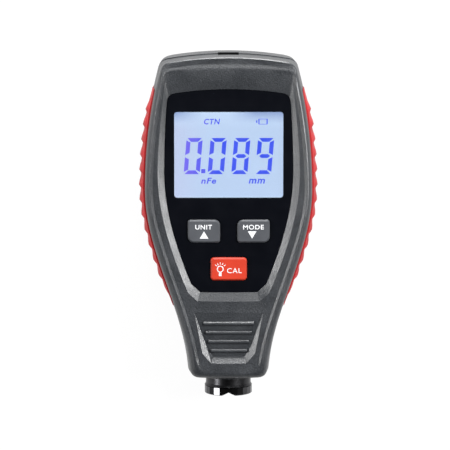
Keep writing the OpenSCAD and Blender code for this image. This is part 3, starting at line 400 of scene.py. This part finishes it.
def dress(node, smooth_deg):
    """Piece that stands for a CAD node, shaded smooth except at its real edges."""
    mesh = merged_mesh(node)
    mesh.shade_smooth()
    mesh.set_sharp_from_angle(angle=math.radians(smooth_deg))
    if node == "front_shell":
        sharpen(mesh, MITRE_LOW, MITRE_HIGH, MITRE_DEG)
    slot = slots[node]
    piece = new_piece("dressed_" + node, mesh, finishes[slot], nodes[node]["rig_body"])
    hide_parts(node)
    return piece


def flatted_mesh(node, count):
    """The surface of a round CAD node along Y with flats ground round it."""
    low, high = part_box(node)
    centre = (low + high) / 2
    radius = (high.x - low.x) / 2
    work = bmesh.new()
    work.from_mesh(merged_mesh(node))
    for i in range(count):
        turn = 2 * math.pi * i / count
        outward = Vector((math.cos(turn), 0, math.sin(turn)))
        place = centre + outward * radius * math.cos(math.pi / count)
        everything = work.verts[:] + work.edges[:] + work.faces[:]
        cut = bmesh.ops.bisect_plane(work, geom=everything, plane_co=place, plane_no=outward,
                                     clear_outer=True)
        rim = [item for item in cut["geom_cut"] if isinstance(item, bmesh.types.BMEdge)]
        bmesh.ops.holes_fill(work, edges=rim)
    for face in work.faces:
        face.smooth = False
    return finished_mesh(work, node)


collar = new_piece("flatted_collar", flatted_mesh("probe_collar", COLLAR_FLATS),
                   finishes["probe_metal"], "probe")
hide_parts("probe_collar")

# The probe's spring rests on the cap at its head end; its piece gets a mesh of its own

spring = dress("probe_spring", SPRING_SMOOTH_DEG)
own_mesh(spring)

for node in nodes:
    if node in SMOOTH_DEG:
        dress(node, SMOOTH_DEG[node])
    elif node not in ("probe_collar", "probe_spring"):
        material = turned_chrome if node == "probe_sleeve" else finishes[slots[node]]
        nodes[node].data.materials.clear()
        nodes[node].data.materials.append(material)


# Flat pieces


def rectangle(x0, y0, x1, y1):
    """Outline of a rectangle between two corners."""
    return [(x0, y0), (x1, y0), (x1, y1), (x0, y1)]


def prism(outline, z0, z1):
    """Closed mesh of an outline in millimetres between two heights."""
    work = bmesh.new()
    low = [work.verts.new((x * MM, y * MM, z0 * MM)) for x, y in outline]
    high = [work.verts.new((x * MM, y * MM, z1 * MM)) for x, y in outline]
    work.faces.new(low[::-1])
    work.faces.new(high)
    for i in range(len(outline)):
        j = (i + 1) % len(outline)
        work.faces.new((low[i], low[j], high[j], high[i]))
    bmesh.ops.recalc_face_normals(work, faces=work.faces)
    return finished_mesh(work, "prism")


def ring_prism(centre, outer, inner, z0, z1, steps=32):
    """Closed flat ring in millimetres."""
    work = bmesh.new()
    rows = []
    for radius, z in ((inner, z0), (outer, z0), (outer, z1), (inner, z1)):
        row = []
        for i in range(steps):
            turn = 2 * math.pi * i / steps
            x = centre[0] + radius * math.cos(turn)
            y = centre[1] + radius * math.sin(turn)
            row.append(work.verts.new((x * MM, y * MM, z * MM)))
        rows.append(row)
    for k, row in enumerate(rows):
        after = rows[(k + 1) % len(rows)]
        for i in range(steps):
            j = (i + 1) % steps
            work.faces.new((row[i], row[j], after[j], after[i]))
    bmesh.ops.recalc_face_normals(work, faces=work.faces)
    return finished_mesh(work, "ring")


# Painted shade: a black sheet on the floor of the strap slot, in front of the post, where the slot
# is in shade

SLOT_HALF = 3.25
SLOT_FLOOR_Z = 9.5
SLOT_SHADE_T = 0.03
LIP_CLEAR = 0.08
POST_CLEAR = 0.05
slot_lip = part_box("rear_shell")[1].y / MM - LIP_CLEAR
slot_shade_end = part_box("strap_post")[1].y / MM + POST_CLEAR
slot_shade_outline = rectangle(-SLOT_HALF, slot_shade_end, SLOT_HALF, slot_lip)
new_piece("painted_slot_shade", prism(slot_shade_outline, SLOT_FLOOR_Z, SLOT_FLOOR_Z + SLOT_SHADE_T), slot_shade_black,
          "housing")


# Printed words

LETTER_DEPTH = 0.5
LETTER_SPACING = 1.12
LETTER_STEPS = 4


def baked_mesh(source):
    """Plain mesh of what a curve or a modifier makes. The source is removed."""
    bpy.context.view_layer.update()
    depsgraph = bpy.context.evaluated_depsgraph_get()
    mesh = bpy.data.meshes.new_from_object(source.evaluated_get(depsgraph))
    bpy.data.objects.remove(source)
    return mesh


def words_mesh(name, words, centre, size, z, slope, weight):
    """Raised words fitted to a width and height in millimetres."""
    curve = bpy.data.curves.new(name, "FONT")
    curve.body = words
    curve.shear = slope
    curve.offset = weight
    curve.extrude = LETTER_DEPTH
    curve.space_character = LETTER_SPACING
    curve.resolution_u = LETTER_STEPS
    mesh = baked_mesh(new_object(name + "_outline", curve))
    xs = [v.co.x for v in mesh.vertices]
    ys = [v.co.y for v in mesh.vertices]
    stretch = Vector((size[0] / (max(xs) - min(xs)), size[1] / (max(ys) - min(ys)), INK)) * MM
    middle = Vector(((max(xs) + min(xs)) / 2, (max(ys) + min(ys)) / 2, -LETTER_DEPTH))
    place = Vector((centre[0], centre[1], z)) * MM
    for vertex in mesh.vertices:
        vertex.co = (vertex.co - middle) * stretch + place
    return mesh


# Bars repeated by a node tree: display segments, the battery sign and the rays of the lamp sign

BAR_WELD = 0.001


def bar_tree():
    """Flat bars with mitred ends, one on each point, turned and stretched by its attributes."""
    tree = bpy.data.node_groups.new("mitred_bars", "GeometryNodeTree")
    sockets = tree.interface
    sockets.new_socket("Points", in_out="INPUT", socket_type="NodeSocketGeometry")
    for size in ("Long Edge", "Short Edge", "Width", "Thickness"):
        sockets.new_socket(size, in_out="INPUT", socket_type="NodeSocketFloat")
    sockets.new_socket("Ink", in_out="INPUT", socket_type="NodeSocketMaterial")
    sockets.new_socket("Bars", in_out="OUTPUT", socket_type="NodeSocketGeometry")

    def point_vector(name):
        """Vector that each point carries under a name."""
        node = add_node(tree, "GeometryNodeInputNamedAttribute", {"data_type": "FLOAT_VECTOR"},
                        Name=name)
        return node.outputs["Attribute"]

    given = tree.nodes.new("NodeGroupInput").outputs
    outline = add_node(tree, "GeometryNodeCurvePrimitiveQuadrilateral", {"mode": "TRAPEZOID"},
                       Top_Width=given["Long Edge"], Bottom_Width=given["Short Edge"],
                       Height=given["Width"], Offset=0.0)
    fill = add_node(tree, "GeometryNodeFillCurve", {"mode": "NGONS"},
                    Curve=outline.outputs["Curve"])
    raised = add_node(tree, "GeometryNodeExtrudeMesh", Mesh=fill.outputs["Mesh"],
                      Offset_Scale=given["Thickness"])
    under = add_node(tree, "GeometryNodeFlipFaces", Mesh=fill.outputs["Mesh"])
    join = add_node(tree, "GeometryNodeJoinGeometry", Geometry=under.outputs["Mesh"])
    tree.links.new(raised.outputs["Mesh"], join.inputs["Geometry"])
    weld = add_node(tree, "GeometryNodeMergeByDistance", Geometry=join.outputs["Geometry"],
                    Distance=BAR_WELD * MM)
    copies = add_node(tree, "GeometryNodeInstanceOnPoints", Points=given["Points"],
                      Instance=weld.outputs["Geometry"], Rotation=point_vector("turn"),
                      Scale=point_vector("stretch"))
    real = add_node(tree, "GeometryNodeRealizeInstances", Geometry=copies.outputs["Instances"])
    paint = add_node(tree, "GeometryNodeSetMaterial", Geometry=real.outputs["Geometry"],
                     Material=given["Ink"])
    add_node(tree, "NodeGroupOutput", Bars=paint.outputs["Geometry"])
    return tree


bars = bar_tree()


def bars_mesh(places, long_edge, short_edge, width, ink):
    """Plain mesh of bars. Each place is a point in millimetres, a turn in degrees and a stretch."""
    points = bpy.data.meshes.new("bar_points")
    points.from_pydata([[c * MM for c in point] for point, _, _ in places], [], [])
    turn = points.attributes.new("turn", "FLOAT_VECTOR", "POINT")
    stretch = points.attributes.new("stretch", "FLOAT_VECTOR", "POINT")
    for i, (_, degrees, scale) in enumerate(places):
        turn.data[i].vector = (0.0, 0.0, math.radians(degrees))
        stretch.data[i].vector = scale
    carrier = new_object("bar_carrier", points)
    modifier = carrier.modifiers.new("bars", "NODES")
    modifier.node_group = bars
    inputs = [item for item in bars.interface.items_tree if item.in_out == "INPUT"]
    keys = {item.name: item.identifier for item in inputs}
    modifier[keys["Long Edge"]] = long_edge * MM
    modifier[keys["Short Edge"]] = short_edge * MM
    modifier[keys["Width"]] = width * MM
    modifier[keys["Thickness"]] = INK * MM
    modifier[keys["Ink"]] = ink
    return baked_mesh(carrier)


# Display: seven-segment digits, with each segment's bars as places from the digit's middle and turns

UNSTRETCHED = (1, 1, 1)
DIGITS = "0089"
DIGIT_X = (-11.04, -3.57, 3.78, 11.16)
DIGIT_Y = WINDOW_Y - 0.52
DIGIT_SLOPE = math.tan(math.radians(5))
LIT = {"0": "abcdef", "8": "abcdefg", "9": "abcdfg"}
FLAT_BARS = {
    "a": [((0, 5.04), 0)],
    "d": [((0, -5.04), 180)],
}
TALL_BARS = {
    "f": [((-1.86, 2.63), 90)],
    "e": [((-1.86, -2.63), 90)],
    "b": [((1.86, 2.63), -90)],
    "c": [((1.86, -2.63), -90)],
}
MIDDLE_BARS = {"g": [((0, 0.3), 180), ((0, -0.3), 0)]}
BAR_SETS = [
    # name, bars, long edge, short edge, width
    ("flat_bars", FLAT_BARS, 4.5, 2.15, 1.2),
    ("tall_bars", TALL_BARS, 4.66, 3.25, 1.3),
    ("middle_bars", MIDDLE_BARS, 3.4, 2.0, 0.6),
]
DOT = (-7.9, WINDOW_Y - 5.22)
DOT_SIZE = 1.3
WORD_SLOPE = 0.2
WORD_WEIGHT = 0.024
DISPLAY_WORDS = [
    # name, words, centre from the window's middle, width and height
    ("mode", "CTN", (-5.17, 10.24), (5.0, 1.78)),
    ("metal", "nFe", (-6.25, -8.21), (4.7, 1.88)),
    ("unit", "mm", (8.75, -8.36), (5.1, 1.5)),
]
BATTERY = (10.3, WINDOW_Y + 10.22)
BATTERY_W = 3.22
BATTERY_H = 1.6
BATTERY_LINE = 0.36
BATTERY_NUB = 0.7
BATTERY_SIDE = (0.8, 0.4, 1)


def display_piece(name, mesh):
    """Lit piece of the display."""
    new_piece("display_" + name, mesh, segment_ink, "housing")


for name, shapes, long_edge, short_edge, width in BAR_SETS:
    places = []
    for digit, x in zip(DIGITS, DIGIT_X):
        for segment in LIT[digit]:
            for (dx, dy), degrees in shapes.get(segment, []):
                places.append(((x + dx, DIGIT_Y + dy, LCD_TOP), degrees, UNSTRETCHED))
    mesh = bars_mesh(places, long_edge, short_edge, width, segment_ink)
    for vertex in mesh.vertices:
        vertex.co.x += (vertex.co.y - DIGIT_Y * MM) * DIGIT_SLOPE
    display_piece(name, mesh)

dot_half = DOT_SIZE / 2
dot = rectangle(DOT[0] - dot_half, DOT[1] - dot_half, DOT[0] + dot_half, DOT[1] + dot_half)
display_piece("point", prism(dot, LCD_TOP, LCD_TOP + INK))

for name, words, (dx, dy), size in DISPLAY_WORDS:
    mesh = words_mesh("display_" + name, words, (dx, WINDOW_Y + dy), size, LCD_TOP,
                      WORD_SLOPE, WORD_WEIGHT)
    display_piece(name, mesh)

battery_left = BATTERY[0] - BATTERY_W / 2
battery_right = BATTERY[0] + BATTERY_W / 2
battery_mid = BATTERY[0] + BATTERY_NUB / 2
upright = BATTERY_H / BATTERY_W
battery_bars = [
    ((battery_right, BATTERY[1], LCD_TOP), 90, (upright, 1, 1)),
    ((battery_left + BATTERY_NUB, BATTERY[1], LCD_TOP), 90, (upright, 1, 1)),
    ((battery_left, BATTERY[1], LCD_TOP), 90, (upright / 2, 1, 1)),
    ((battery_mid, BATTERY[1] + BATTERY_H / 2, LCD_TOP), 0, BATTERY_SIDE),
    ((battery_mid, BATTERY[1] - BATTERY_H / 2, LCD_TOP), 0, BATTERY_SIDE),
]
display_piece("battery", bars_mesh(battery_bars, BATTERY_W, BATTERY_W, BATTERY_LINE, segment_ink))


# Legends on the keys

LEGENDS = [
    # key, words, centre from the key's middle, width and height, weight
    ("unit", "UNIT", (-0.1, 1.3), (5.2, 1.46), 0.02),
    ("mode", "MODE", (-0.02, 1.3), (6.45, 1.46), 0.02),
    ("cal", "CAL", (1.74, -0.5), (4.55, 1.56), 0.004),
]
KEYS_AT = {"unit": UNIT_AT, "mode": MODE_AT, "cal": CAL_AT}
ARROWS = [
    # key, shift along X, 1 for up or -1 for down
    ("unit", 0.0, 1),
    ("mode", -0.45, -1),
]
ARROW_W = 2.7
ARROW_H = 2.3
ARROW_DROP = 1.14
LAMP = (CAL_AT[0] - 2.65, CAL_AT[1] + 0.02)
LAMP_R = 1.05
LAMP_LINE = 0.26
LAMP_FOOT_W = 0.8
LAMP_FOOT_H = 1.3
RAY_R = 1.75
RAY_LEN = 0.66
RAY_W = 0.2
RAY_TURNS = (-50, -25, 0, 25, 50)


def key_piece(name, mesh, key):
    """White print on a key."""
    new_piece(name, mesh, white_ink, key + "_button")


for key, words, (dx, dy), size, weight in LEGENDS:
    x, y = KEYS_AT[key]
    name = key + "_legend"
    key_piece(name, words_mesh(name, words, (x + dx, y + dy), size, KEY_TOP, 0, weight), key)

for key, dx, point in ARROWS:
    x = KEYS_AT[key][0] + dx
    middle = KEYS_AT[key][1] - ARROW_DROP
    base = middle - point * ARROW_H / 2
    tip = middle + point * ARROW_H / 2
    arrow = [(x - ARROW_W / 2, base), (x + ARROW_W / 2, base), (x, tip)]
    key_piece(key + "_arrow", prism(arrow, KEY_TOP, KEY_TOP + INK), key)

ring = ring_prism(LAMP, LAMP_R, LAMP_R - LAMP_LINE, KEY_TOP, KEY_TOP + INK)
key_piece("lamp_ring", ring, "cal")
foot_top = LAMP[1] - LAMP_R + LAMP_LINE / 2
foot = rectangle(LAMP[0] - LAMP_FOOT_W / 2, foot_top - LAMP_FOOT_H,
                 LAMP[0] + LAMP_FOOT_W / 2, foot_top)
key_piece("lamp_foot", prism(foot, KEY_TOP, KEY_TOP + INK), "cal")
ray_places = []
for degrees in RAY_TURNS:
    lean = math.radians(degrees)
    x = LAMP[0] + RAY_R * math.sin(lean)
    y = LAMP[1] + RAY_R * math.cos(lean)
    ray_places.append(((x, y, KEY_TOP), 90 - degrees, UNSTRETCHED))
key_piece("lamp_rays", bars_mesh(ray_places, RAY_LEN, RAY_LEN, RAY_W, white_ink), "cal")


# Floor

FLOOR_HALF = 1500
FLOOR_DROP = 0.05
FLOOR_COLOUR = (0.85, 0.85, 0.85, 1.0)
FLOOR_ROUGHNESS = 0.9
FLOOR_GLOW = 0.95
MIRRORED_GLOW = 0.85


def white_floor():
    """White floor with a soft shadow, dimmer where it is mirrored and clear from below."""
    material, tree, shader = new_material("white_floor")
    shader.inputs["Base Color"].default_value = FLOOR_COLOUR
    shader.inputs["Roughness"].default_value = FLOOR_ROUGHNESS
    rays = tree.nodes.new("ShaderNodeLightPath").outputs
    mirrored = rays["Is Glossy Ray"]
    strength = maths(tree, "MULTIPLY_ADD", mirrored, MIRRORED_GLOW - 1.0, 1.0)
    glow = add_node(tree, "ShaderNodeEmission", Color=WHITE, Strength=strength)
    seen = maths(tree, "MAXIMUM", rays["Is Camera Ray"], mirrored)
    seen = maths(tree, "MAXIMUM", seen, rays["Is Transmission Ray"])
    lit_share = maths(tree, "MULTIPLY", seen, FLOOR_GLOW)
    top = mixed_shader(tree, lit_share, shader.outputs["BSDF"], glow.outputs["Emission"])
    clear = tree.nodes.new("ShaderNodeBsdfTransparent").outputs["BSDF"]
    below = tree.nodes.new("ShaderNodeNewGeometry").outputs["Backfacing"]
    surface = mixed_shader(tree, below, top, clear)
    tree.links.new(surface, tree.nodes["Material Output"].inputs["Surface"])
    return material


corners = rectangle(-FLOOR_HALF, -FLOOR_HALF, FLOOR_HALF, FLOOR_HALF)
floor_mesh = bpy.data.meshes.new("floor")
floor_mesh.from_pydata([(x * MM, y * MM, -FLOOR_DROP * MM) for x, y in corners], [], [(0, 1, 2, 3)])
floor_mesh.materials.append(white_floor())
floor = new_object("floor", floor_mesh)


# Light

HORIZON_Z = 0.1
HORIZON_LIGHT = 0.22
OVERHEAD_Z = 0.9
OVERHEAD_LIGHT = 0.035
LAMPS = [
    # name, place, aim and width in millimetres, watts
    ("collar_lamp", (-560, -175, 335), (0, -50, 12), 130, 0.9),
    ("right_lamp", (480, 130, 470), (0, 0, 15), 220, 9.0),
    ("left_lamp", (-570, 110, 340), (0, 0, 15), 220, 4.8),
    ("head_lamp", (40, 700, 130), (0, 20, 15), 300, 11.5),
    ("bevel_lamp", (0, 450, 640), (0, 0, 15), 200, 1.6),
]


def studio_sky():
    """Sky that is bright round the horizon and dark overhead, as a room with side windows is."""
    world = bpy.data.worlds.new("studio_sky")
    world.use_nodes = True
    tree = world.node_tree
    background = tree.nodes["Background"]
    light = ranged(tree, axes_of(tree, "Generated")["Z"], HORIZON_Z, OVERHEAD_Z,
                   HORIZON_LIGHT, OVERHEAD_LIGHT)
    tree.links.new(light, background.inputs["Strength"])
    background.inputs["Color"].default_value = WHITE
    bpy.context.scene.world = world


def soft_lamp(name, place, aim, width, watts):
    """Square soft lamp aimed at a point."""
    lamp = bpy.data.lights.new(name, "AREA")
    lamp.shape = "SQUARE"
    lamp.size = width * MM
    lamp.energy = watts
    position = Vector(place) * MM
    toward = Vector(aim) * MM - position
    turn = toward.to_track_quat("-Z", "Y").to_matrix().to_4x4()
    new_object(name, lamp).matrix_world = Matrix.Translation(position) @ turn


studio_sky()
for lamp_values in LAMPS:
    soft_lamp(*lamp_values)


# Camera

CAMERA_AIM = Vector((-1.05, -0.35, 13.0))
CAMERA_EYE = Vector((-11.0, 128.65, 1004.6))
FRAME_W = 141.5
SENSOR_W = 36.0
CLIP_END = 10.0

distance = (CAMERA_EYE - CAMERA_AIM).length
back = (CAMERA_EYE - CAMERA_AIM).normalized()
right = Vector((0, 1, 0)).cross(back).normalized()
up = back.cross(right)
camera_data = bpy.data.cameras.new("camera")
camera_data.sensor_width = SENSOR_W
camera_data.lens = SENSOR_W * distance / FRAME_W
camera_data.clip_end = CLIP_END
camera = new_object("camera", camera_data)
turned = Matrix((right, up, back)).transposed().to_4x4()
camera.matrix_world = Matrix.Translation(CAMERA_EYE * MM) @ turned
bpy.context.scene.camera = camera
bpy.context.scene.view_settings.view_transform = "Standard"
